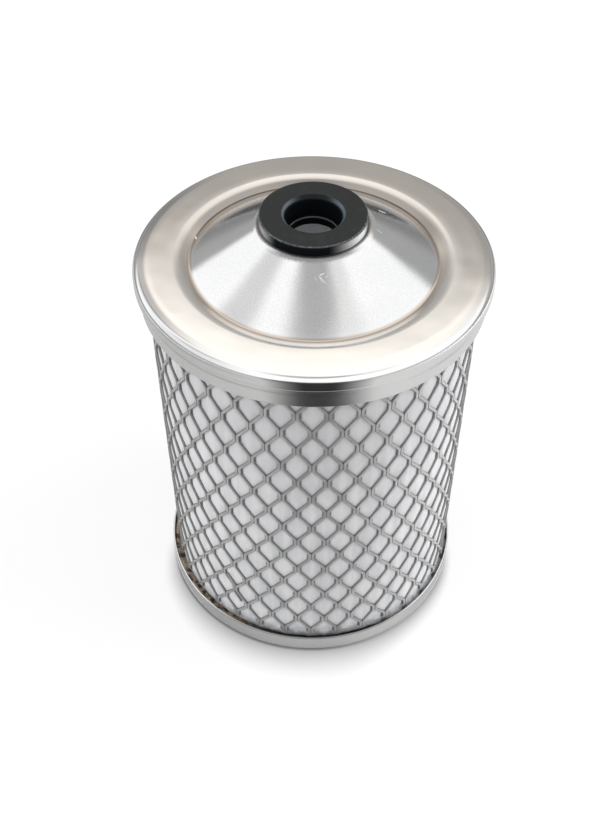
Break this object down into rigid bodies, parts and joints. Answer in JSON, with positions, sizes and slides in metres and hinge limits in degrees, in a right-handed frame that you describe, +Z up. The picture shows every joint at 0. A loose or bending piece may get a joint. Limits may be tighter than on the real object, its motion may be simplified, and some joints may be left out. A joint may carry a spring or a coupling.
{
  "type": "fuel filter element",
  "caption": "Cylindrical diesel fuel filter cartridge with a coned steel cap, rubber seals for a centre bolt, a diamond mesh cage and a pleated pack.",
  "frame": {"origin": "centre of the foot, in the plane that the tray stands on", "axes": "+Z up the axis of the cartridge, towards the coned cap"},
  "size_m": [0.0904, 0.0904, 0.1246],
  "materials": {
    "end_cap_steel": "satin tinned steel",
    "tray_steel": "satin tinned steel",
    "black_rubber": "matte moulded rubber",
    "mesh_steel": "grey expanded steel",
    "white_felt": "white non-woven",
    "filter_paper": "pleated filter paper",
    "tube_steel": "plain slotted steel",
    "tan_adhesive": "cured adhesive"
  },
  "bodies": {
    "root": {"top_end_cap": "end_cap_steel", "bottom_end_cap": "tray_steel", "top_seal": "black_rubber", "bottom_seal": "black_rubber", "cage": "mesh_steel", "media_wrap": "white_felt", "pleated_media": "filter_paper", "centre_tube": "tube_steel", "top_potting": "tan_adhesive", "bottom_potting": "tan_adhesive"}
  },
  "joints": []
}
